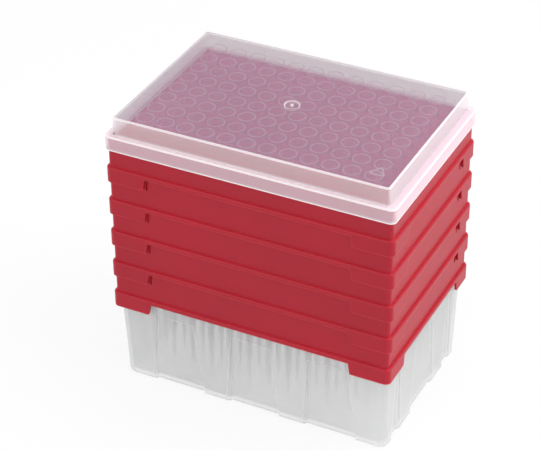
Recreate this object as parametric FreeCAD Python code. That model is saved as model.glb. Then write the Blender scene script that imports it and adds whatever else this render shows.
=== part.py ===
import FreeCAD, Part
import math
import os

from FreeCAD import Vector

# A refill pack of pipette tips: an open tub, five stacked decks that each hold
# 96 tips, and a lid. Millimetres, +Z up. The origin is on the table, in the
# middle of the tub's footprint, and the long side runs along X.

# ---- driving dimensions ---------------------------------------------------------
# Tip places: the laboratory standard of 8 rows by 12 columns.
TIP_PITCH = 9.0
COLUMNS = 12
ROWS = 8

# The wall outline that every deck shares.
STACK_LENGTH = 124.1
STACK_WIDTH = 82.5
STACK_CORNER = 1.5

# Decks: a skirt wall with the pierced plate at its top.
DECK_COUNT = 5
DECK_RISE = 15.4
DECK_WALL = 1.3
PLATE_THICKNESS = 1.5
HOLE_CLEARANCE = 0.2

# The flange round a deck's foot, and the tabs that hang from its corners over
# the piece below. At two opposite corners, front left and back right, the tabs
# are shorter on the short sides, and a blind slot beside each tab end thins the
# wall below so that it can flex.
FLANGE_HEIGHT = 2.0
FLANGE_ROUND = 0.9
TAB_THICKNESS = 0.95
TAB_CLEARANCE = 0.15
TAB_LENGTH_X = 18.0
TAB_LENGTH_Y = 15.8
TAB_LENGTH_Y_SLOTTED = 13.4
TAB_DROP = 5.2
TAB_TAPER = math.radians(8)
TAB_ROUND = 0.9
RELIEF_WIDE = 1.4
RELIEF_NARROW = 0.7
RELIEF_DEPTH = 5.4
RELIEF_SINK = 0.7

# Tub: a rim set in from the decks' outline, walls drawn in towards the foot, and
# sunk panels.
TUB_HEIGHT = 42.8
TUB_INSET = 0.7
TUB_WALL = 1.5
TUB_FLOOR = 1.6
TUB_DRAFT_X = 0.65
TUB_DRAFT_Y = 2.65
TUB_CORNER = 4.0
TUB_FOOT_ROUND = 1.8
PANEL_DEPTH = 1.2
PANEL_HEIGHT = 36.6
PANEL_TOP = 17.6
PANEL_FOOT = 24.9
PANEL_PITCH = 35.2
PANEL_RUN = 0.7
FLUTE_TOP = 5.2
FLUTE_FOOT = 9.6
FLUTE_PLACE = 27.3

# Lid: a skirt outside the top deck's wall, a ledge that rests on it and a
# raised crown over the tips.
LID_WALL = 0.9
LID_CLEARANCE = 0.15
LID_SKIRT = 5.6
LID_SEAT = 1.0
LID_ROUND = 0.5
LEDGE_X = 2.9
LEDGE_Y = 1.7
CROWN_RISE = 7.9
CROWN_DRAFT = 0.4
CROWN_CORNER = 1.4
CROWN_ROUND = 0.8
GATE_RADIUS = 3.25
GATE_DEPTH = 0.3
GATE_STUB_RADIUS = 0.65
GATE_STUB_HEIGHT = 0.25

# Tip: a collar above the deck, and a long taper below it that ends in the point.
COLLAR_HEIGHT = 7.0
COLLAR_WALL = 0.6
COLLAR_SEAT = 0.5
COLLAR_FLARE = 0.2
BODY_RADIUS = 2.85
BODY_LENGTH = 48.0
BODY_WALL = 0.5
POINT_RADIUS = 0.45
POINT_WALL = 0.22
SHOULDER_HEIGHT = 2.0

# ---- sizes that follow ------------------------------------------------------------
half_length = STACK_LENGTH / 2
half_width = STACK_WIDTH / 2
flange_reach = TAB_CLEARANCE + TAB_THICKNESS
lid_reach = LID_CLEARANCE + LID_WALL
crown_top = LID_SEAT + CROWN_RISE
hole_radius = BODY_RADIUS + HOLE_CLEARANCE
collar_foot_radius = hole_radius + COLLAR_SEAT
rim_radius = collar_foot_radius + COLLAR_FLARE
overrun = 1.0


# ---- outlines and blocks -------------------------------------------------------------
def outline(reach, z, radius=None, inset_x=0.0, inset_y=0.0):
    """The shared wall outline at height z, moved outward by reach and inward by the insets."""
    x = half_length + reach - inset_x
    y = half_width + reach - inset_y
    r = radius or STACK_CORNER + reach
    arcs = []
    for sign_x, sign_y, start in ((1, 1, 0), (-1, 1, 90), (-1, -1, 180), (1, -1, 270)):
        centre = Vector(sign_x * (x - r), sign_y * (y - r), z)
        turns = [math.radians(start + step) for step in (0, 45, 90)]
        arcs.append(Part.Arc(*[centre + Vector(math.cos(t), math.sin(t), 0) * r for t in turns]))
    edges = []
    for arc, following in zip(arcs, arcs[1:] + arcs[:1]):
        edges.append(arc.toShape())
        edges.append(Part.makeLine(arc.EndPoint, following.StartPoint))
    return Part.Wire(edges)


def block(reach, low, high):
    """Upright block between two heights."""
    return Part.Face(outline(reach, low)).extrude(Vector(0, 0, high - low))


def ring(outer_reach, inner_reach, low, high):
    """Upright wall between two heights."""
    return block(outer_reach, low, high).cut(block(inner_reach, low, high))


def level_edges(shape, z):
    """The edges that lie flat at height z."""
    return [
        edge for edge in shape.Edges
        if abs(edge.BoundBox.ZMin - z) < 1e-4 and abs(edge.BoundBox.ZMax - z) < 1e-4
    ]


def prism_across(points, along_x, start=-STACK_LENGTH):
    """A side-view outline of (distance, height) points, pushed through the part from start."""
    if along_x:
        corners = [Vector(distance, start, z) for distance, z in points]
        push = Vector(0, STACK_LENGTH - start, 0)
    else:
        corners = [Vector(start, distance, z) for distance, z in points]
        push = Vector(STACK_LENGTH - start, 0, 0)
    return Part.Face(Part.makePolygon(corners + corners[:1])).extrude(push)


def turned(shape):
    """The same shape, turned half round the pack's middle."""
    return shape.rotated(Vector(0, 0, 0), Vector(0, 0, 1), 180)


def row_places(row):
    """The tip places of one row, row 0 at the back."""
    y = ((ROWS - 1) / 2 - row) * TIP_PITCH
    return [Vector((column - (COLUMNS - 1) / 2) * TIP_PITCH, y, 0) for column in range(COLUMNS)]


# ---- tub ----------------------------------------------------------------------------
def tub_block(reach, low):
    """Tapered block from height low up to the rim."""
    wires = []
    for z in (low, TUB_HEIGHT):
        share = 1 - z / TUB_HEIGHT
        inset_x = TUB_INSET + TUB_DRAFT_X * share
        inset_y = TUB_INSET + TUB_DRAFT_Y * share
        wires.append(outline(reach, z, TUB_CORNER + reach, inset_x, inset_y))
    return Part.makeLoft(wires, True)


def rounded_tub_block(reach, low, radius):
    shape = tub_block(reach, low)
    return shape.makeFillet(radius, level_edges(shape, low))


def panel_wedge(side, sign, place, top, foot, grow):
    """Wedge that sinks one panel into a drafted side. It is open at the foot, and its edges slope in."""
    half, draft = (half_width, TUB_DRAFT_Y) if side == "long" else (half_length, TUB_DRAFT_X)
    flare = (foot - top) / 2 / PANEL_HEIGHT
    low = -2 * overrun
    wires = []
    for distance in (overrun, -PANEL_DEPTH - TUB_WALL - overrun / 2):
        margin = grow + PANEL_RUN * distance
        high = PANEL_HEIGHT + margin
        corners = []
        for way, z in ((-1, low), (1, low), (1, high), (-1, high)):
            along = place + way * (top / 2 + margin + flare * (PANEL_HEIGHT - z))
            out = sign * (half - TUB_INSET - draft * (1 - z / TUB_HEIGHT) + distance)
            corners.append(Vector(along, out, z) if side == "long" else Vector(out, along, z))
        wires.append(Part.makePolygon(corners + corners[:1]))
    return Part.makeLoft(wires, True, True)


def panel_wedges(grow):
    """Three panels on each long side, and a panel between two flutes on each short side."""
    wedges = []
    for sign in (-1, 1):
        for step in (-1, 0, 1):
            wedges.append(panel_wedge("long", sign, step * PANEL_PITCH, PANEL_TOP, PANEL_FOOT, grow))
        wedges.append(panel_wedge("short", sign, 0.0, PANEL_TOP, PANEL_FOOT, grow))
        for step in (-1, 1):
            wedges.append(panel_wedge("short", sign, step * FLUTE_PLACE, FLUTE_TOP, FLUTE_FOOT, grow))
    return wedges


def panelled(reach, low, radius, grow):
    """Tub block with its panels sunk, for the outside and again for the hollow."""
    core = rounded_tub_block(reach - PANEL_DEPTH, low, radius)
    return rounded_tub_block(reach, low, radius).cut(panel_wedges(grow)).fuse(core).removeSplitter()


def make_tub():
    outside = panelled(0.0, 0.0, TUB_FOOT_ROUND, 0.0)
    hollow = panelled(-TUB_WALL, TUB_FLOOR, TUB_FOOT_ROUND / 2, TUB_WALL * (1 - PANEL_RUN))
    return outside.cut(hollow)


# ---- decks ------------------------------------------------------------------------
def tab_window(half, low_tab, high_tab):
    """Side view of the open stretch between two tabs. It widens downwards."""
    low = low_tab - half - flange_reach
    high = half + flange_reach - high_tab
    depth = TAB_DROP + overrun
    shift = depth * math.tan(TAB_TAPER)
    return [(low, 0), (high, 0), (high + shift, -depth), (low - shift, -depth)]


def corner_tabs():
    """Four tabs that wrap the corners, cut from one ring and rounded at their lower ends."""
    tabs = ring(flange_reach, TAB_CLEARANCE, -TAB_DROP, 0)
    long_sides = prism_across(tab_window(half_length, TAB_LENGTH_X, TAB_LENGTH_X), True)
    short_side = prism_across(tab_window(half_width, TAB_LENGTH_Y, TAB_LENGTH_Y_SLOTTED), False, 0)
    tabs = tabs.cut([long_sides, short_side, turned(short_side)])
    ends = [edge for edge in level_edges(tabs, -TAB_DROP) if abs(edge.Length - TAB_THICKNESS) < 1e-3]
    return tabs.makeFillet(TAB_ROUND, ends)


def relief_slots():
    """Blind slots down a wall's outside, beside the tab ends of the piece above at two opposite corners."""
    top = DECK_RISE
    low = DECK_RISE - RELIEF_DEPTH
    wall_zone = ring(overrun, -RELIEF_SINK, low, top)
    slots = []
    for half, tab, along_x, top_width, foot_width in (
        (half_length, TAB_LENGTH_X, True, RELIEF_WIDE, RELIEF_NARROW),
        (half_width, TAB_LENGTH_Y_SLOTTED, False, RELIEF_NARROW, RELIEF_WIDE),
    ):
        end = half + flange_reach - tab
        sides = [(end - top_width, top), (end, top), (end, low), (end - foot_width, low)]
        slots.append(prism_across(sides, along_x, 0).common(wall_zone))
    return slots + [turned(slot) for slot in slots]


def make_deck():
    """One deck: its foot flange with the corner tabs, its skirt wall and the pierced plate."""
    flange = block(flange_reach, 0, FLANGE_HEIGHT)
    flange = flange.makeFillet(FLANGE_ROUND, level_edges(flange, FLANGE_HEIGHT))
    deck = block(0, 0, DECK_RISE).fuse([flange, corner_tabs()])
    deck = deck.cut(block(-DECK_WALL, 0, DECK_RISE - PLATE_THICKNESS))
    low = Vector(0, 0, DECK_RISE - PLATE_THICKNESS - overrun / 2)
    holes = [
        Part.makeCylinder(hole_radius, PLATE_THICKNESS + overrun, place + low)
        for row in range(ROWS) for place in row_places(row)
    ]
    return deck.cut(holes + relief_slots()).removeSplitter()


def split_deck(deck):
    """The deck's moulding as two neighbours: the skirt, and the plate inside it."""
    inside = block(-DECK_WALL, DECK_RISE - PLATE_THICKNESS, DECK_RISE)
    return deck.cut(inside), deck.common(inside)


# ---- lid ---------------------------------------------------------------------------
def crown_block(reach, low, high, radius):
    """The crown's tapered block. Height 0 is the lid's seat on the top deck."""
    wires = []
    for z in (low, high):
        draft = CROWN_DRAFT * (z - LID_SEAT) / CROWN_RISE
        wires.append(outline(reach, z, radius, LEDGE_X + draft, LEDGE_Y + draft))
    return Part.makeLoft(wires, True)


def make_lid():
    skirt = block(lid_reach, -LID_SKIRT, LID_SEAT)
    skirt = skirt.makeFillet(LID_ROUND, level_edges(skirt, LID_SEAT))
    crown = crown_block(lid_reach, 0, crown_top, CROWN_CORNER)
    crown = crown.makeFillet(CROWN_ROUND, level_edges(crown, crown_top))
    lid = skirt.fuse(crown)
    lid = lid.cut([
        block(LID_CLEARANCE, -LID_SKIRT, 0),
        crown_block(lid_reach - LID_WALL, -overrun, crown_top - LID_WALL, CROWN_CORNER - LID_WALL),
        Part.makeCylinder(GATE_RADIUS, GATE_DEPTH, Vector(0, 0, crown_top - GATE_DEPTH)),
    ])
    stub_height = GATE_DEPTH + GATE_STUB_HEIGHT
    stub = Part.makeCylinder(GATE_STUB_RADIUS, stub_height, Vector(0, 0, crown_top - 2 * GATE_DEPTH))
    return lid.fuse(stub).removeSplitter()


# ---- tips -----------------------------------------------------------------------
def make_tip():
    """One tip, turned from its half section. Height 0 is the collar's seat on the deck."""
    section = [
        (POINT_RADIUS, -BODY_LENGTH),
        (BODY_RADIUS, 0),
        (collar_foot_radius, 0),
        (rim_radius, COLLAR_HEIGHT),
        (rim_radius - COLLAR_WALL, COLLAR_HEIGHT),
        (collar_foot_radius - COLLAR_WALL, SHOULDER_HEIGHT),
        (BODY_RADIUS - BODY_WALL, 0),
        (POINT_RADIUS - POINT_WALL, -BODY_LENGTH),
    ]
    corners = [Vector(radius, 0, z) for radius, z in section]
    face = Part.Face(Part.makePolygon(corners + corners[:1]))
    return face.revolve(Vector(0, 0, 0), Vector(0, 0, 1), 360)


def copies(shape, places):
    """One compound with a separate copy of the solid at each place."""
    moved = []
    for place in places:
        copy = shape.copy()
        copy.translate(place)
        moved.append(copy)
    return Part.makeCompound(moved)


# ---- the pack, from the table up ---------------------------------------------------
def save(name, shape):
    shape.exportStep(os.path.join("parts", name + ".step"))


os.makedirs("parts", exist_ok=True)
save("tub", make_tub())
skirt, plate = split_deck(make_deck())
tip = make_tip()
for level in range(DECK_COUNT):
    foot = Vector(0, 0, TUB_HEIGHT + level * DECK_RISE)
    save(f"deck_{level + 1}", skirt.translated(foot))
    save(f"deck_{level + 1}_plate", plate.translated(foot))
    for row in range(ROWS):
        seats = [place + foot + Vector(0, 0, DECK_RISE) for place in row_places(row)]
        save(f"tips_deck_{level + 1}_row_{chr(ord('a') + row)}", copies(tip, seats))
save("lid", make_lid().translated(Vector(0, 0, TUB_HEIGHT + DECK_COUNT * DECK_RISE)))
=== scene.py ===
# %% [markdown]
# A refill pack of pipette tips, given its finish. The pack is a frosted tub, five
# red racks full of nested tips and a see-through lid. Its pieces come ready made
# and in place, so this notebook is about plastics: how a red moulding, a frosted
# one and a clear one each take light, and how to light such a pack plainly.

# %% Load the pack
import math

import bmesh
import bpy
from mathutils import Matrix, Vector


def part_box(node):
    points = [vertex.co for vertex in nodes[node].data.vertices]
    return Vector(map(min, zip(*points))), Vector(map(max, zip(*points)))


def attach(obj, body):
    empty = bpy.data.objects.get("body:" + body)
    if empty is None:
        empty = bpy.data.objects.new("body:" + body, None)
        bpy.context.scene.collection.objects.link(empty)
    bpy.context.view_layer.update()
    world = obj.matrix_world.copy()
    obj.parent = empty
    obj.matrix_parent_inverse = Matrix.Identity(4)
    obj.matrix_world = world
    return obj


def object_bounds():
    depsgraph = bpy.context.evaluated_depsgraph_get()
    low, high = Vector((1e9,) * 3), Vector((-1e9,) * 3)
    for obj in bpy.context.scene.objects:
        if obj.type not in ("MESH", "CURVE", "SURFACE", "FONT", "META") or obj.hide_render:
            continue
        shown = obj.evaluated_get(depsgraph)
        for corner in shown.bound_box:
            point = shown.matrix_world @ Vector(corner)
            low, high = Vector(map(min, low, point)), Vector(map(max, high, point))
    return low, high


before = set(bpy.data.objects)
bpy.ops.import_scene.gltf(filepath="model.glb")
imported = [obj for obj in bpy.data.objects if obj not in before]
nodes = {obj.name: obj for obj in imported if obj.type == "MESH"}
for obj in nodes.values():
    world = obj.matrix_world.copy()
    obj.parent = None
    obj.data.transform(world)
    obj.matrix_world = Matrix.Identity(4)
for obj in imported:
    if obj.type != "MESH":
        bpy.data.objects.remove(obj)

MM = 0.001
cad_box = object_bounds()
pack_size = [round((high - low) / MM, 1) for low, high in zip(*cad_box)]
print("pack", pack_size, "mm, in", len(nodes), "pieces")

# %% [markdown]
# The camera comes first, because every finish is judged through it. It stands to
# the right of the front and looks down on the lid with a long lens, so the two
# visible sides and the top keep nearly parallel edges. A turn about its own line
# of sight, well under a degree, sets the uprights as they stand. A Track To
# constraint could aim it too, but a rotation worked out once is plainer.

# %% Camera
AIM = Vector((-9.08, -2.36, 69.50)) * MM
ROUND = math.radians(26.56)
ABOVE = math.radians(33.83)
DISTANCE = 819.5 * MM
ROLL = math.radians(-0.42)
LENS_LENGTH = 131.04
SENSOR_WIDTH = 36

away = Vector((
    math.sin(ROUND) * math.cos(ABOVE),
    -math.cos(ROUND) * math.cos(ABOVE),
    math.sin(ABOVE),
))
roll = Matrix.Rotation(ROLL, 4, "Z").to_quaternion()
camera_data = bpy.data.cameras.new("camera")
camera_data.lens = LENS_LENGTH
camera_data.sensor_width = SENSOR_WIDTH
camera = bpy.data.objects.new("camera", camera_data)
bpy.context.collection.objects.link(camera)
camera.rotation_mode = "QUATERNION"
camera.location = AIM + away * DISTANCE
camera.rotation_quaternion = (-away).to_track_quat("-Z", "Y") @ roll
bpy.context.scene.camera = camera
print("camera", round(DISTANCE, 3), "m away")

# %% [markdown]
# Every material here is a tree of nodes, and a few kinds of node come back all the
# time. Short helpers add them, so that a finish reads as what it does. In each, kit
# is the tree's nodes and wire is its links.

# %% Helpers: a material, a sum, a mix
def new_material(name):
    """An empty node material, with its nodes, its links and its output."""
    material = bpy.data.materials.new(name)
    material.use_nodes = True
    tree = material.node_tree
    tree.nodes.clear()
    return material, tree.nodes, tree.links, tree.nodes.new("ShaderNodeOutputMaterial")


def maths(kit, wire, operation, *terms):
    """One Math node, fed by sockets or plain numbers."""
    node = kit.new("ShaderNodeMath")
    node.operation = operation
    for socket, term in zip(node.inputs, terms):
        if isinstance(term, (int, float)):
            socket.default_value = term
        else:
            wire.new(term, socket)
    return node.outputs["Value"]


def mix_shaders(kit, wire, share, first, second):
    """Two shaders mixed, share of the second, which is a number or a socket."""
    node = kit.new("ShaderNodeMixShader")
    if isinstance(share, (int, float)):
        node.inputs["Fac"].default_value = share
    else:
        wire.new(share, node.inputs["Fac"])
    wire.new(first, node.inputs[1])
    wire.new(second, node.inputs[2])
    return node.outputs["Shader"]


def in_view(kit, wire):
    """1 for rays that show a surface itself: from the camera, in gloss and through glass."""
    ray = kit.new("ShaderNodeLightPath")
    shown = ray.outputs["Is Camera Ray"]
    for label in ("Is Glossy Ray", "Is Transmission Ray"):
        shown = maths(kit, wire, "MAXIMUM", shown, ray.outputs[label])
    return shown


# %% [markdown]
# The pack stands on a white sweep. The sheet is plain white paper to every ray that
# only carries light. To the camera and in gloss most of its white is its own glow,
# so it stays white to the edge and the pack leaves only a faint shadow on it. More
# lamps could whiten it too, but they would bleach the pack.

# %% Floor sheet
FLOOR_SIZE = 8.0
floor_mesh = bpy.data.meshes.new("floor")
sheet = bmesh.new()
bmesh.ops.create_grid(sheet, x_segments=1, y_segments=1, size=FLOOR_SIZE / 2)
sheet.to_mesh(floor_mesh)
sheet.free()
floor = bpy.data.objects.new("floor", floor_mesh)
bpy.context.collection.objects.link(floor)
print("floor", FLOOR_SIZE, "m square")

# %% Finish: white paper
PAPER_WHITE = (0.88, 0.88, 0.88, 1)
GLOW_WHITE = (1, 1, 1, 1)
SHARE_OF_GLOW = 0.86

paper, kit, wire, out = new_material("white paper sweep")
matt = kit.new("ShaderNodeBsdfDiffuse")
matt.inputs["Color"].default_value = PAPER_WHITE
glow = kit.new("ShaderNodeEmission")
glow.inputs["Color"].default_value = GLOW_WHITE
glow.inputs["Strength"].default_value = 1.0
part_glow = mix_shaders(kit, wire, SHARE_OF_GLOW, matt.outputs["BSDF"], glow.outputs["Emission"])
seen = mix_shaders(kit, wire, in_view(kit, wire), matt.outputs["BSDF"], part_glow)
wire.new(seen, out.inputs["Surface"])
floor_mesh.materials.append(paper)
print("paper,", SHARE_OF_GLOW, "of it glow where it is seen")

# %% [markdown]
# Round the pack is a light tent, which is the world. It shows as plain white, and
# gives less light than it shows, because clear plastic needs darker light from
# the sides to keep its edges. Three soft boxes do the rest: one over the lid, a
# large one on the right that the short side mirrors, and a weak one in front.

# %% World: light tent
TENT_SHOWN = 1.0
TENT_LIGHT = 0.55

world = bpy.data.worlds.new("light tent")
bpy.context.scene.world = world
world.use_nodes = True
kit = world.node_tree.nodes
wire = world.node_tree.links
kit.clear()


def tent_cloth(strength):
    """White light from the world, at one strength."""
    cloth = kit.new("ShaderNodeBackground")
    cloth.inputs["Color"].default_value = GLOW_WHITE
    cloth.inputs["Strength"].default_value = strength
    return cloth.outputs["Background"]


tent = mix_shaders(kit, wire, in_view(kit, wire), tent_cloth(TENT_LIGHT), tent_cloth(TENT_SHOWN))
wire.new(tent, kit.new("ShaderNodeOutputWorld").inputs["Surface"])
print("tent shows at", TENT_SHOWN, "and lights at", TENT_LIGHT)

# %% Soft boxes
PACK_MIDDLE = (cad_box[0] + cad_box[1]) / 2


def soft_box(name, place, size, watts):
    """A square area lamp that faces the middle of the pack."""
    lamp = bpy.data.lights.new(name, "AREA")
    lamp.size = size
    lamp.energy = watts
    holder = bpy.data.objects.new(name, lamp)
    holder.location = place
    holder.rotation_mode = "QUATERNION"
    holder.rotation_quaternion = (PACK_MIDDLE - Vector(place)).to_track_quat("-Z", "Y")
    bpy.context.collection.objects.link(holder)
    print("soft box", name, size, "m,", watts, "W")


soft_box("over the lid", place=(0.15, 0.05, 0.8), size=0.7, watts=4.1)
soft_box("right side", place=(1.2, 0.2, 0.5), size=0.9, watts=7.2)
soft_box("front fill", place=(-0.5, -1.3, 0.7), size=1.0, watts=5.5)

# %% [markdown]
# Moulded plastic is never quite even. Melt cools into a slow waviness and a fine
# orange peel, and handling leaves hair scratches. All four finishes share those
# effects, so each effect is a node group with its own sockets, built once and
# placed in every material with its own values.

# %% Helpers: a group, a noise
def new_group(name, inputs, outputs):
    """A shader node group with number inputs (name, value) and number outputs by name."""
    group = bpy.data.node_groups.new(name, "ShaderNodeTree")
    for label, value in inputs:
        socket = group.interface.new_socket(
            label, in_out="INPUT", socket_type="NodeSocketFloat"
        )
        socket.default_value = value
    for label in outputs:
        group.interface.new_socket(label, in_out="OUTPUT", socket_type="NodeSocketFloat")
    kit = group.nodes
    return group, kit, group.links, kit.new("NodeGroupInput"), kit.new("NodeGroupOutput")


def noise(kit, wire, vector, scale, detail, stretch=None):
    """Noise on object coordinates, in features per metre, stretched along an axis if asked."""
    texture = kit.new("ShaderNodeTexNoise")
    texture.inputs["Scale"].default_value = scale
    texture.inputs["Detail"].default_value = detail
    if stretch:
        mapping = kit.new("ShaderNodeMapping")
        mapping.inputs["Scale"].default_value = stretch
        wire.new(vector, mapping.inputs["Vector"])
        vector = mapping.outputs["Vector"]
    wire.new(vector, texture.inputs["Vector"])
    return texture.outputs["Fac"]


# %% Group: moulded surface
WAVES_PER_METRE = 38
PEEL_PER_METRE = 900
TONES_PER_METRE = 22

MOULDED, kit, wire, entry, leave = new_group(
    "moulded surface", [("Waviness", 1.0), ("Peel", 1.0)], ["Height", "Tone"]
)
place = kit.new("ShaderNodeTexCoord").outputs["Object"]
waves = noise(kit, wire, place, WAVES_PER_METRE, detail=2.0)
peel = noise(kit, wire, place, PEEL_PER_METRE, detail=3.0)
wave_height = maths(kit, wire, "MULTIPLY", waves, entry.outputs["Waviness"])
peel_height = maths(kit, wire, "MULTIPLY", peel, entry.outputs["Peel"])
wire.new(maths(kit, wire, "ADD", wave_height, peel_height), leave.inputs["Height"])
tones = noise(kit, wire, place, TONES_PER_METRE, detail=4.0)
wire.new(tones, leave.inputs["Tone"])
print("group", MOULDED.name, "of", len(kit), "nodes")

# %% Group: hair scratches
LONG_PER_METRE = 260
CROSS_PER_METRE = 240
LONG_STRETCH = (0.06, 1.3, 1.0)
CROSS_STRETCH = (1.2, 0.07, 1.0)
SCRATCH_DETAIL = 2.0
SCRATCH_LEVEL = 0.66
SCRATCH_SHARPNESS = 9.0

SCRATCHES, kit, wire, entry, leave = new_group("hair scratches", [("Amount", 0.5)], ["Mask"])
place = kit.new("ShaderNodeTexCoord").outputs["Object"]
along = noise(kit, wire, place, LONG_PER_METRE, SCRATCH_DETAIL, LONG_STRETCH)
across = noise(kit, wire, place, CROSS_PER_METRE, SCRATCH_DETAIL, CROSS_STRETCH)
highest = maths(kit, wire, "MAXIMUM", along, across)
peaks = maths(kit, wire, "SUBTRACT", highest, SCRATCH_LEVEL)
sharp = maths(kit, wire, "MULTIPLY", peaks, SCRATCH_SHARPNESS)
clipped = maths(kit, wire, "MAXIMUM", maths(kit, wire, "MINIMUM", sharp, 1.0), 0.0)
wire.new(maths(kit, wire, "MULTIPLY", clipped, entry.outputs["Amount"]), leave.inputs["Mask"])
print("group", SCRATCHES.name, "of", len(kit), "nodes")

# %% [markdown]
# The tools of a moulding are cut with small radii, so no edge of the pack is truly
# sharp. Bevelled meshes would cost many faces on 480 tips. A Bevel node turns the
# normal near each edge instead, and the same turn tells a material where its ribs
# and rims are. The tips are too thin to need it.

# %% Helpers: soft edges and relief
def use_group(kit, group, **values):
    """Places a node group in a material and sets its inputs."""
    node = kit.new("ShaderNodeGroup")
    node.node_tree = group
    for label, value in values.items():
        node.inputs[label].default_value = value
    return node


def rounded(kit, wire, radius):
    """The surface's normal with its edges rounded to a radius in metres."""
    node = kit.new("ShaderNodeBevel")
    node.samples = 4
    node.inputs["Radius"].default_value = radius
    return node.outputs["Normal"]


def bumped(kit, wire, height, relief, normal=None):
    """A bump of the given relief in metres, laid on a normal."""
    node = kit.new("ShaderNodeBump")
    node.inputs["Distance"].default_value = relief
    node.inputs["Strength"].default_value = 1.0
    wire.new(height, node.inputs["Height"])
    if normal:
        wire.new(normal, node.inputs["Normal"])
    return node.outputs["Normal"]


def edge_mask(kit, wire, soft_normal, gain):
    """1 along ribs and rims, 0 on flats: where the rounded normal turns from the true one."""
    true = kit.new("ShaderNodeNewGeometry")
    dot = kit.new("ShaderNodeVectorMath")
    dot.operation = "DOT_PRODUCT"
    wire.new(true.outputs["Normal"], dot.inputs[0])
    wire.new(soft_normal, dot.inputs[1])
    turned = maths(kit, wire, "SUBTRACT", 1.0, dot.outputs["Value"])
    return maths(kit, wire, "MINIMUM", maths(kit, wire, "MULTIPLY", turned, gain), 1.0)


# %% Helpers: colours and values that vary
NOISE_LOW = 0.3
NOISE_HIGH = 0.7


def two_tone(kit, wire, tone, darker, lighter):
    """A colour that drifts from darker to lighter as the noise goes from low to high."""
    node = kit.new("ShaderNodeValToRGB")
    elements = node.color_ramp.elements
    stops = ((NOISE_LOW, darker), (NOISE_HIGH, lighter))
    for element, (position, colour) in zip(elements, stops):
        element.position = position
        element.color = (*colour, 1)
    wire.new(tone, node.inputs["Fac"])
    return node.outputs["Color"]


def spread(kit, wire, tone, low, high):
    """A value that drifts from low to high with the noise."""
    node = kit.new("ShaderNodeMapRange")
    node.inputs["From Min"].default_value = NOISE_LOW
    node.inputs["From Max"].default_value = NOISE_HIGH
    node.inputs["To Min"].default_value = low
    node.inputs["To Max"].default_value = high
    wire.new(tone, node.inputs["Value"])
    return node.outputs["Result"]


def tinted(kit, wire, mask, colour, other):
    """One colour where the mask is 0, the other where it is 1. Each is a socket or three numbers."""
    node = kit.new("ShaderNodeMix")
    node.data_type = "RGBA"
    wire.new(mask, node.inputs["Factor"])
    for socket, value in ((node.inputs[6], colour), (node.inputs[7], other)):
        if isinstance(value, tuple):
            socket.default_value = (*value, 1)
        else:
            wire.new(value, socket)
    return node.outputs[2]


# %% [markdown]
# The racks are red polypropylene. Light goes a little way into it, which warms the
# thin flanges and keeps the slots beside the tabs glowing instead of black. A
# Principled shader with some subsurface does that. A second diffuse layer would be
# cheaper but would leave the edges dead.
#
# Two more things show in such plastic, and both are painted into the colour. In a
# crease the light bounces from red to red, so its colour deepens instead of greying:
# that is painted bounce light, a deeper and more saturated red in the creases. A
# rounded rib is lit from both sides and looks paler: that is a painted highlight, a
# paler red on the ribs. An Ambient Occlusion node finds the creases and the Bevel
# node finds the ribs.

# %% Helper: creases
CREASE_REACH = 1.8 * MM
CREASE_STARTS = 0.95
CREASE_FULL = 0.45


def creases(kit, wire):
    """0 on open faces, 1 deep in a slot or under a flange: where the red gets its painted bounce
    light.
    """
    recess = kit.new("ShaderNodeAmbientOcclusion")
    recess.samples = 6
    recess.only_local = True
    recess.inputs["Distance"].default_value = CREASE_REACH
    deep = kit.new("ShaderNodeMapRange")
    deep.inputs["From Min"].default_value = CREASE_STARTS
    deep.inputs["From Max"].default_value = CREASE_FULL
    wire.new(recess.outputs["AO"], deep.inputs["Value"])
    return deep.outputs["Result"]


# %% Finish: red racks
PLASTIC_IOR = 1.49
RED_DARKER = (0.39, 0.006, 0.021)
RED_LIGHTER = (0.44, 0.008, 0.027)
# Painted highlight: a paler red on the ribs. Painted bounce light: a deeper, more saturated red in
# the creases.
RED_RIB_HIGHLIGHT = (0.54, 0.028, 0.046)
RED_CREASE_BOUNCE_LIGHT = (0.56, 0.001, 0.015)
RIB_GAIN = 6.0
RACK_EDGE = 0.7 * MM
RACK_RELIEF = 0.12 * MM
RACK_ROUGHNESS = (0.36, 0.44)
RACK_GLOSS = 0.3
RED_SOAK_SHARE = 0.5
RED_SOAK = (1.0, 0.12, 0.10)
RED_SOAK_DEPTH = 3 * MM

RED, kit, wire, out = new_material("red polypropylene")
body = kit.new("ShaderNodeBsdfPrincipled")
moulded = use_group(kit, MOULDED, Waviness=1.0, Peel=0.10)
scratches = use_group(kit, SCRATCHES, Amount=0.10)
tone = moulded.outputs["Tone"]
soft_edge = rounded(kit, wire, RACK_EDGE)
deep = creases(kit, wire)
# The painted highlight goes on the ribs and the painted bounce light into the creases.
ribs = edge_mask(kit, wire, soft_edge, RIB_GAIN)
ribs = maths(kit, wire, "MULTIPLY", ribs, maths(kit, wire, "SUBTRACT", 1.0, deep))
open_red = two_tone(kit, wire, tone, RED_DARKER, RED_LIGHTER)
shown_red = tinted(kit, wire, ribs, open_red, RED_RIB_HIGHLIGHT)
wire.new(tinted(kit, wire, deep, shown_red, RED_CREASE_BOUNCE_LIGHT), body.inputs["Base Color"])
rough = maths(kit, wire, "ADD", spread(kit, wire, tone, *RACK_ROUGHNESS), scratches.outputs["Mask"])
wire.new(rough, body.inputs["Roughness"])
relief = bumped(kit, wire, moulded.outputs["Height"], RACK_RELIEF, soft_edge)
wire.new(relief, body.inputs["Normal"])
body.inputs["IOR"].default_value = PLASTIC_IOR
body.inputs["Specular IOR Level"].default_value = RACK_GLOSS
body.inputs["Subsurface Weight"].default_value = RED_SOAK_SHARE
body.inputs["Subsurface Radius"].default_value = RED_SOAK
body.inputs["Subsurface Scale"].default_value = RED_SOAK_DEPTH
wire.new(body.outputs["BSDF"], out.inputs["Surface"])
print("finish", RED.name, "of", len(kit), "nodes")

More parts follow.
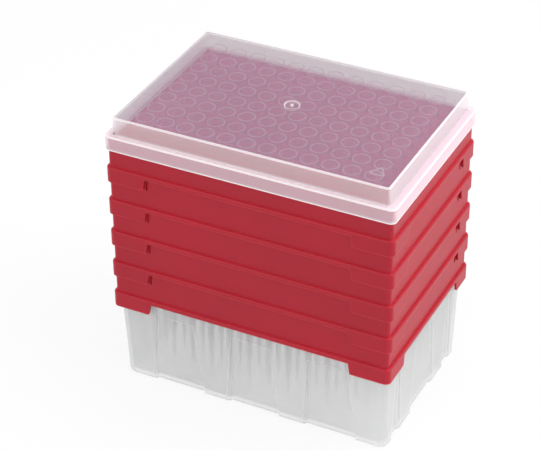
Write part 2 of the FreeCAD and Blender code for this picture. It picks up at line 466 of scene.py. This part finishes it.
# %% [markdown]
# The tub, the lid and the tips are natural polypropylene: milky, see-through when
# thin. A rough glass shader would show that, but it takes many samples and turns
# dark indoors. Here each surface is a mix. A Transparent shader lets the view and
# the light through, and a Principled shader with a Translucent one beside it
# carries the milk, the gloss and the light that soaks through. The share of milk
# grows where the wall is seen at a slant, because the way through it is longer.

# %% Helper: milk in a wall
def milk_share(kit, wire, milk, lowest_cosine):
    """The part of the view a surface hides, from the part it hides when seen straight on.
    The lowest cosine caps how long the way through the wall can get at a slant."""
    slant = kit.new("ShaderNodeLayerWeight")
    slant.inputs["Blend"].default_value = 0.5
    cosine = maths(kit, wire, "SUBTRACT", 1.0, slant.outputs["Facing"])
    path = maths(kit, wire, "DIVIDE", 1.0, maths(kit, wire, "MAXIMUM", cosine, lowest_cosine))
    clear_part = maths(kit, wire, "POWER", maths(kit, wire, "SUBTRACT", 1.0, milk), path)
    return maths(kit, wire, "SUBTRACT", 1.0, clear_part)


# %% Finish: milky plastics
WATER_CLEAR = (1.0, 1.0, 1.0)


def milky(name, look, roughness, peel, relief, edge_radius=None, lowest_cosine=0.12):
    """Natural polypropylene. look(kit, wire, tone, soft_normal) gives its colour, its milk, the
    part of the milk's light that comes through from behind, and the colour of its clear part."""
    material, kit, wire, out = new_material(name)
    moulded = use_group(kit, MOULDED, Waviness=1.0, Peel=peel)
    scratches = use_group(kit, SCRATCHES, Amount=0.12)
    tone = moulded.outputs["Tone"]
    soft_normal = rounded(kit, wire, edge_radius) if edge_radius else None
    normal = bumped(kit, wire, moulded.outputs["Height"], relief, soft_normal)
    tint, milk, glow, through = look(kit, wire, tone, soft_normal)
    gloss = kit.new("ShaderNodeBsdfPrincipled")
    gloss.inputs["IOR"].default_value = PLASTIC_IOR
    wire.new(tint, gloss.inputs["Base Color"])
    rough = maths(kit, wire, "ADD", spread(kit, wire, tone, *roughness), scratches.outputs["Mask"])
    wire.new(rough, gloss.inputs["Roughness"])
    wire.new(normal, gloss.inputs["Normal"])
    soak = kit.new("ShaderNodeBsdfTranslucent")
    wire.new(tint, soak.inputs["Color"])
    wire.new(normal, soak.inputs["Normal"])
    milky_part = mix_shaders(kit, wire, glow, gloss.outputs["BSDF"], soak.outputs["BSDF"])
    clear = kit.new("ShaderNodeBsdfTransparent")
    if isinstance(through, tuple):
        clear.inputs["Color"].default_value = (*through, 1)
    else:
        wire.new(through, clear.inputs["Color"])
    share = milk_share(kit, wire, milk, lowest_cosine)
    seen = mix_shaders(kit, wire, share, clear.outputs["BSDF"], milky_part)
    wire.new(seen, out.inputs["Surface"])
    print("finish", name, "of", len(kit), "nodes")
    return material


# %% [markdown]
# The walls of one moulding aren't all alike: a lid's top, its ledge and its rims
# each hold more or less milk. Separate materials would need the mesh cut up, and
# painted vertex colours would need fine faces. Masks made from a point's height,
# its place and the lean of its face find those zones instead.

# %% Helpers: masks that find a piece's parts
def times(kit, wire, *factors):
    """A product of sockets or numbers."""
    product = factors[0]
    for factor in factors[1:]:
        product = maths(kit, wire, "MULTIPLY", product, factor)
    return product


def plus(kit, wire, *terms):
    """A sum of sockets or numbers."""
    total = terms[0]
    for term in terms[1:]:
        total = maths(kit, wire, "ADD", total, term)
    return total


def either(kit, wire, *masks):
    """1 where any of the masks is 1."""
    most = masks[0]
    for mask in masks[1:]:
        most = maths(kit, wire, "MAXIMUM", most, mask)
    return most


def between(kit, wire, value, low, high):
    """1 where a value lies between two numbers, else 0."""
    middle = (low + high) / 2
    node = kit.new("ShaderNodeMath")
    node.operation = "COMPARE"
    wire.new(value, node.inputs[0])
    node.inputs[1].default_value = middle
    node.inputs[2].default_value = high - middle
    return node.outputs["Value"]


def where(kit, wire):
    """The X, Y and Z of a point in the pack, in metres, and its face's lean: 1 where it is flat."""
    place = kit.new("ShaderNodeTexCoord")
    spot = kit.new("ShaderNodeSeparateXYZ")
    wire.new(place.outputs["Object"], spot.inputs["Vector"])
    facing = kit.new("ShaderNodeSeparateXYZ")
    wire.new(place.outputs["Normal"], facing.inputs["Vector"])
    lean = maths(kit, wire, "ABSOLUTE", facing.outputs["Z"])
    return spot.outputs["X"], spot.outputs["Y"], spot.outputs["Z"], lean


# %% [markdown]
# The tub is frosted: its mould was blasted, so it scatters more light than the lid
# and is nearly grey. Where a panel folds in, the wall is seen through its own
# thickness, so the edge mask gives those folds more milk, and less light from behind,
# where the tips stand. The pale line along each fold is also a painted highlight: the
# edge mask whitens the folds' colour.

# %% Finish: frosted tub
TUB_DARKER = (0.83, 0.84, 0.84)
TUB_LIGHTER = (0.86, 0.87, 0.87)
# Painted highlight: the folds' colour is whitened.
FOLD_HIGHLIGHT_WHITE = (1.0, 1.0, 1.0)
FOLD_GAIN = 5.0
TUB_MILK = 0.27
FOLD_MILK = 0.25
TUB_SOAK = 0.5
FOLD_SOAK_LOSS = 0.4


def tub_look(kit, wire, tone, soft_normal):
    """Even grey milk, with thicker milk along the folds and a painted highlight that whitens them.
    """
    folds = edge_mask(kit, wire, soft_normal, FOLD_GAIN)
    even = two_tone(kit, wire, tone, TUB_DARKER, TUB_LIGHTER)
    tint = tinted(kit, wire, folds, even, FOLD_HIGHLIGHT_WHITE)
    milk = plus(kit, wire, TUB_MILK, times(kit, wire, folds, FOLD_MILK))
    glow = maths(kit, wire, "SUBTRACT", TUB_SOAK, times(kit, wire, folds, FOLD_SOAK_LOSS))
    return tint, milk, glow, WATER_CLEAR


FROSTED = milky(
    "frosted polypropylene", tub_look, roughness=(0.36, 0.46),
    peel=0.12, relief=0.1 * MM, edge_radius=1.0 * MM, lowest_cosine=0.45,
)

# %% [markdown]
# The lid is clearer and glossier. Its broad top works as a pale grey-green filter
# over the racks. The red light that the racks below shine into its milk is painted
# into the top's colour as mauve. Its walls are whiter, and the red light from the
# rack behind the skirt is painted into the skirt as pink. The crown's edge, the
# ledge, the foot and the round mark that the gate left are thick or rounded, so they
# catch the light: that is painted as white lines, with a whiter colour and more
# milk. Each of those zones is a mask, and the zones' shares of milk simply add up.

# %% Zones of the lid
lid_low, lid_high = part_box("lid")
LID_STEP = 1.0 * MM
LEDGE_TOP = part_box("deck_5_plate")[1][2] + LID_STEP
CROWN_FILLET = 0.8 * MM
GATE_RADIUS = 3.25 * MM
STUB_REACH = 0.7 * MM
HAIR = 0.1 * MM
FLAT_LEAN = (0.95, 1.05)
RING_BAND = (GATE_RADIUS - 0.35 * MM, GATE_RADIUS + 0.05 * MM)
LEDGE_BAND = (LEDGE_TOP - 0.8 * MM, LEDGE_TOP + 0.4 * MM)
FOOT_BAND = (lid_low[2] - MM, lid_low[2] + 0.5 * MM)


def lid_zones(kit, wire):
    """Masks of the lid's top, its skirt, its ledge and its edges with a painted highlight."""
    x, y, z, lean = where(kit, wire)
    flat = between(kit, wire, lean, *FLAT_LEAN)
    slanted = maths(kit, wire, "SUBTRACT", 1.0, flat)
    above_ledge = between(kit, wire, z, LEDGE_TOP + MM, lid_high[2] + MM)
    top = times(kit, wire, flat, above_ledge)
    skirt = between(kit, wire, z, lid_low[2] - MM, LEDGE_TOP + HAIR)
    at_ledge = between(kit, wire, z, LEDGE_TOP - HAIR, LEDGE_TOP + HAIR)
    ledge = times(kit, wire, flat, at_ledge)
    at_crown_edge = between(kit, wire, z, lid_high[2] - CROWN_FILLET, lid_high[2])
    at_ledge_edge = between(kit, wire, z, *LEDGE_BAND)
    foot_edge = between(kit, wire, z, *FOOT_BAND)
    squares = plus(kit, wire, times(kit, wire, x, x), times(kit, wire, y, y))
    from_middle = maths(kit, wire, "SQRT", squares)
    gate_ring = between(kit, wire, from_middle, *RING_BAND)
    stub = between(kit, wire, from_middle, -MM, STUB_REACH)
    edges = either(
        kit, wire,
        times(kit, wire, slanted, at_crown_edge),
        times(kit, wire, slanted, at_ledge_edge),
        foot_edge,
        times(kit, wire, either(kit, wire, gate_ring, stub), top),
    )
    return top, skirt, ledge, edges


print("lid from", round(lid_low[2] / MM, 1), "to", round(lid_high[2] / MM, 1), "mm up")

# %% Finish: clear lid
# Painted red light from the racks: mauve in the top and pink in the skirt.
TOP_RED_LIGHT_DARKER = (0.81, 0.50, 0.77)
TOP_RED_LIGHT_LIGHTER = (0.85, 0.54, 0.81)
TOP_FILTER = (0.78, 0.90, 0.80)
WALL_WHITE = (0.98, 0.94, 1.0)
SKIRT_RED_LIGHT_PINK = (1.0, 0.81, 0.90)
# Painted highlight: a whiter colour on the edges.
EDGE_HIGHLIGHT_WHITE = (1.0, 0.97, 0.98)
WALL_MILK = 0.24
TOP_MILK_LESS = -0.09
SKIRT_MILK_MORE = 0.06
# Painted highlight: more milk on the ledge and the edges.
LEDGE_HIGHLIGHT_MILK = 0.3
EDGE_HIGHLIGHT_MILK = 0.55
LID_SOAK = 0.35
SKIRT_SOAK_LESS = -0.2


def lid_look(kit, wire, tone, soft_normal):
    """The lid's milk, zone by zone, with painted red light in the top and the skirt and painted
    highlights on the ledge and the edges, and the filter that its top is.
    """
    top, skirt, ledge, edges = lid_zones(kit, wire)
    # The racks' red light is painted into the top and the skirt, and the highlight onto the edges.
    mauve_red_light = two_tone(kit, wire, tone, TOP_RED_LIGHT_DARKER, TOP_RED_LIGHT_LIGHTER)
    tint = tinted(kit, wire, top, WALL_WHITE, mauve_red_light)
    tint = tinted(kit, wire, skirt, tint, SKIRT_RED_LIGHT_PINK)
    tint = tinted(kit, wire, edges, tint, EDGE_HIGHLIGHT_WHITE)
    milk = plus(
        kit, wire, WALL_MILK,
        times(kit, wire, top, TOP_MILK_LESS),
        times(kit, wire, skirt, SKIRT_MILK_MORE),
        times(kit, wire, ledge, LEDGE_HIGHLIGHT_MILK),
        times(kit, wire, edges, EDGE_HIGHLIGHT_MILK),
    )
    glow = plus(kit, wire, LID_SOAK, times(kit, wire, skirt, SKIRT_SOAK_LESS))
    return tint, milk, glow, tinted(kit, wire, top, WATER_CLEAR, TOP_FILTER)


CLEAR = milky(
    "clear polypropylene", lid_look, roughness=(0.16, 0.26),
    peel=0.05, relief=0.1 * MM, edge_radius=0.4 * MM,
)

# %% [markdown]
# A tip's collar is so thin that only its rim and its outline show. Its long body
# goes down through the rack. The red light of the rack is painted into the tips: red
# in the neck just below the plate, and mauve in the collar.
# The tips stand on a square grid, so one small sum gives how far any point is
# from the axis of its own tip, and the body is what lies near it. A material for
# each rack knows the height of its plate. Letting one material guess the rack
# from a point's height would mix up the tips that stand in each other.

# %% Zones of a tip
TIP_PITCH = 9 * MM
BODY_REACH = 3.0 * MM
NECK_DEPTH = 8 * MM
TIP_LENGTH = 60 * MM
COLLAR_HEIGHT = 7 * MM
HALF_RIM = 0.2 * MM


def from_tip_axis(kit, wire, x, y):
    """How far a point is from the axis of its own tip, in metres."""
    squares = []
    for along in (x, y):
        step = maths(kit, wire, "FRACT", maths(kit, wire, "DIVIDE", along, TIP_PITCH))
        off_axis = times(kit, wire, maths(kit, wire, "SUBTRACT", step, 0.5), TIP_PITCH)
        squares.append(times(kit, wire, off_axis, off_axis))
    return maths(kit, wire, "SQRT", plus(kit, wire, *squares))


def tip_zones(kit, wire, plate_top):
    """Masks of a tip's collar, its rim, its neck under the plate and its body below that."""
    x, y, z = where(kit, wire)[:3]
    rim_height = plate_top + COLLAR_HEIGHT
    collar = between(kit, wire, z, plate_top, plate_top + 2 * COLLAR_HEIGHT)
    rim = between(kit, wire, z, rim_height - HALF_RIM, rim_height + HALF_RIM)
    shaft = between(kit, wire, from_tip_axis(kit, wire, x, y), -BODY_REACH, BODY_REACH)
    by_neck = between(kit, wire, z, plate_top - NECK_DEPTH, plate_top + 0.5 * MM)
    by_body = between(kit, wire, z, plate_top - TIP_LENGTH, plate_top - NECK_DEPTH)
    return collar, rim, times(kit, wire, shaft, by_neck), times(kit, wire, shaft, by_body)


# %% Finish: tips
TIP_DARKER = (0.89, 0.90, 0.90)
TIP_LIGHTER = (0.93, 0.94, 0.94)
# Painted red light from the rack: mauve in the collar, red in the neck, where more milk makes it
# show.
COLLAR_RED_LIGHT_MAUVE = (0.96, 0.82, 0.98)
NECK_RED_LIGHT = (1.0, 0.15, 0.24)
TIP_MILK = 0.03
RIM_MILK_MORE = 0.22
BODY_MILK_MORE = 0.15
NECK_MILK_MORE = 0.60
TIP_SOAK = 0.45


def tip_look(plate_top):
    """The look of the tips whose rack has its plate's top at this height, with the rack's red light
    painted into the collar and the neck.
    """

    def look(kit, wire, tone, soft_normal):
        collar, rim, neck, body = tip_zones(kit, wire, plate_top)
        natural = two_tone(kit, wire, tone, TIP_DARKER, TIP_LIGHTER)
        # The rack's red light is painted into the collar and the neck.
        tint = tinted(kit, wire, collar, natural, COLLAR_RED_LIGHT_MAUVE)
        tint = tinted(kit, wire, neck, tint, NECK_RED_LIGHT)
        milk = plus(
            kit, wire, TIP_MILK,
            times(kit, wire, rim, RIM_MILK_MORE),
            times(kit, wire, body, BODY_MILK_MORE),
            times(kit, wire, neck, NECK_MILK_MORE),
        )
        return tint, milk, TIP_SOAK, WATER_CLEAR

    return look


RACKS = 5
TIP_PLASTICS = {}
for deck in range(1, RACKS + 1):
    plate_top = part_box(f"deck_{deck}_plate")[1][2]
    TIP_PLASTICS[deck] = milky(
        f"tip polypropylene {deck}", tip_look(plate_top), roughness=(0.18, 0.26),
        peel=0.02, relief=0.05 * MM, lowest_cosine=0.4,
    )

# %% [markdown]
# A look through the lid passes dozens of thin walls, because tips stand in tips.
# Past the renderer's limit for clear surfaces the view turns black, so the limit
# is raised.

# %% Walls a ray may pass
CLEAR_WALLS = 32
bpy.context.scene.cycles.transparent_max_bounces = CLEAR_WALLS
print("a ray may pass", CLEAR_WALLS, "clear walls")

# %% [markdown]
# Packs of this kind have a small triangle moulded inside the lid's top, as a sign
# that the plastic can be recycled. It stands a quarter of a millimetre proud of
# the ceiling. A bevel on the three corners of a flat triangle rounds it, an inset
# makes it a ring, and an extrusion gives the ring its height.

# %% Recycling triangle under the lid's top
LID_WALL = 0.9 * MM
MARK_PLACE = Vector((50.8 * MM, -30.1 * MM, lid_high[2] - LID_WALL))
MARK_REACH = 4.4 * MM
MARK_CORNER = 1.6 * MM
MARK_BAR = 0.7 * MM
MARK_RELIEF = 0.25 * MM
MARK_SUNK = 0.05 * MM

mark = bmesh.new()
bmesh.ops.create_circle(mark, cap_ends=True, segments=3, radius=MARK_REACH)
bmesh.ops.bevel(
    mark, geom=mark.verts[:], offset=MARK_CORNER, segments=5, profile=0.5,
    affect="VERTICES", material=-1,
)
middle_face = mark.faces[:]
bmesh.ops.inset_region(
    mark, faces=middle_face, thickness=MARK_BAR, use_boundary=True, use_even_offset=True
)
bmesh.ops.delete(mark, geom=middle_face, context="FACES")
pulled = bmesh.ops.extrude_face_region(mark, geom=mark.faces[:])["geom"]
lifted = [corner for corner in pulled if isinstance(corner, bmesh.types.BMVert)]
bmesh.ops.translate(mark, vec=(0, 0, MARK_RELIEF + MARK_SUNK), verts=lifted)
bmesh.ops.translate(mark, vec=MARK_PLACE - Vector((0, 0, MARK_RELIEF)), verts=mark.verts[:])
bmesh.ops.recalc_face_normals(mark, faces=mark.faces[:])
mark_mesh = bpy.data.meshes.new("recycling_triangle")
mark.to_mesh(mark_mesh)
mark.free()
triangle = bpy.data.objects.new("recycling_triangle", mark_mesh)
bpy.context.collection.objects.link(triangle)
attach(triangle, "lid")
mark_size = [round(side / MM, 1) for side in triangle.dimensions]
print("triangle of", len(mark_mesh.polygons), "faces,", mark_size, "mm")

# %% Finish: triangle
MARK_DARKER = (0.96, 0.90, 0.96)
MARK_LIGHTER = (1.0, 0.94, 1.0)
MARK_MILK = 0.18


def mark_look(kit, wire, tone, soft_normal):
    """Plain pale milk, the same all over the mark."""
    return two_tone(kit, wire, tone, MARK_DARKER, MARK_LIGHTER), MARK_MILK, LID_SOAK, WATER_CLEAR


mark_mesh.materials.append(
    milky("raised mark", mark_look, roughness=(0.16, 0.26), peel=0.05, relief=0.05 * MM)
)

# %% [markdown]
# The pieces that came ready made keep their meshes. Each takes its finish on its
# own slot, so that two pieces of one mesh could still look different.

# %% Give every piece its finish
def finish_for(name):
    """The finish that a piece takes, by its name."""
    if name.startswith("deck_"):
        return RED
    if name.startswith("tips_"):
        return TIP_PLASTICS[int(name.split("_")[2])]
    return {"tub": FROSTED, "lid": CLEAR}[name]


for name, piece in nodes.items():
    finish = finish_for(name)
    for piece_slot in piece.material_slots:
        piece_slot.link = "OBJECT"
        piece_slot.material = finish
print("finishes on", len(nodes), "pieces")

# %% [markdown]
# The last cell sets the plain Standard view transform.

# %% View transform
bpy.context.scene.view_settings.view_transform = "Standard"
